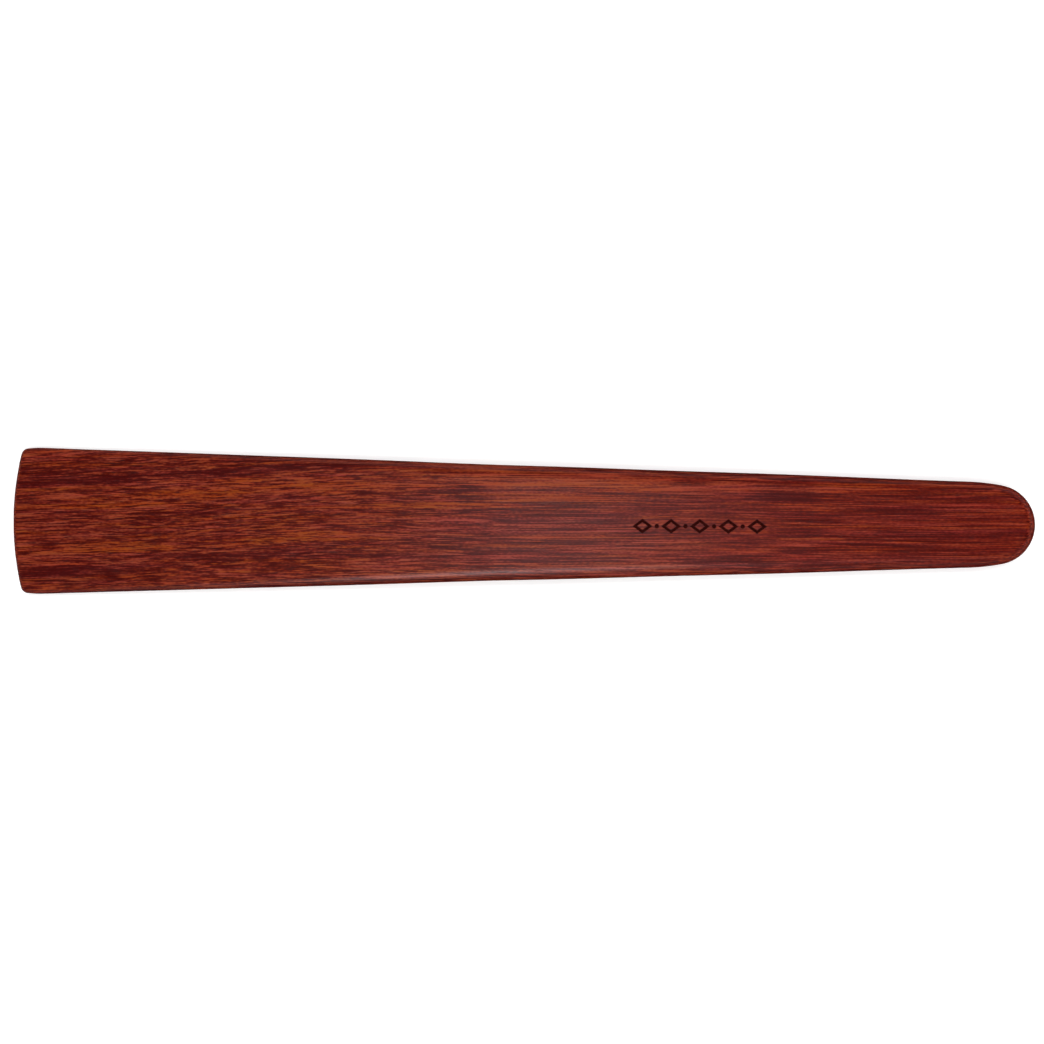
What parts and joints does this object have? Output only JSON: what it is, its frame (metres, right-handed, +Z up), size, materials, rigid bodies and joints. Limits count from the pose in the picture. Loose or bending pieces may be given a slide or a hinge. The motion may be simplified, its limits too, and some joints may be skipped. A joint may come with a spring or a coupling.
{
  "type": "long shoehorn",
  "caption": "Long flat shoehorn cut from one hardwood board: a thin, wide blade end with a shallow arc, a straight taper, rounded edges and a narrow, round grip end.",
  "frame": {"origin": "on the flat underside, below the middle of the overall length and of the overall width", "axes": "+X along the length from the blade to the grip's tip, +Y across the width, +Z up from the flat underside"},
  "size_m": [0.33, 0.0472, 0.0095],
  "materials": {
    "hardwood": "red-brown tropical hardwood, sanded smooth along the grain and oiled to a satin gloss"
  },
  "bodies": {
    "root": {"wooden_shoehorn": "hardwood"}
  },
  "joints": []
}
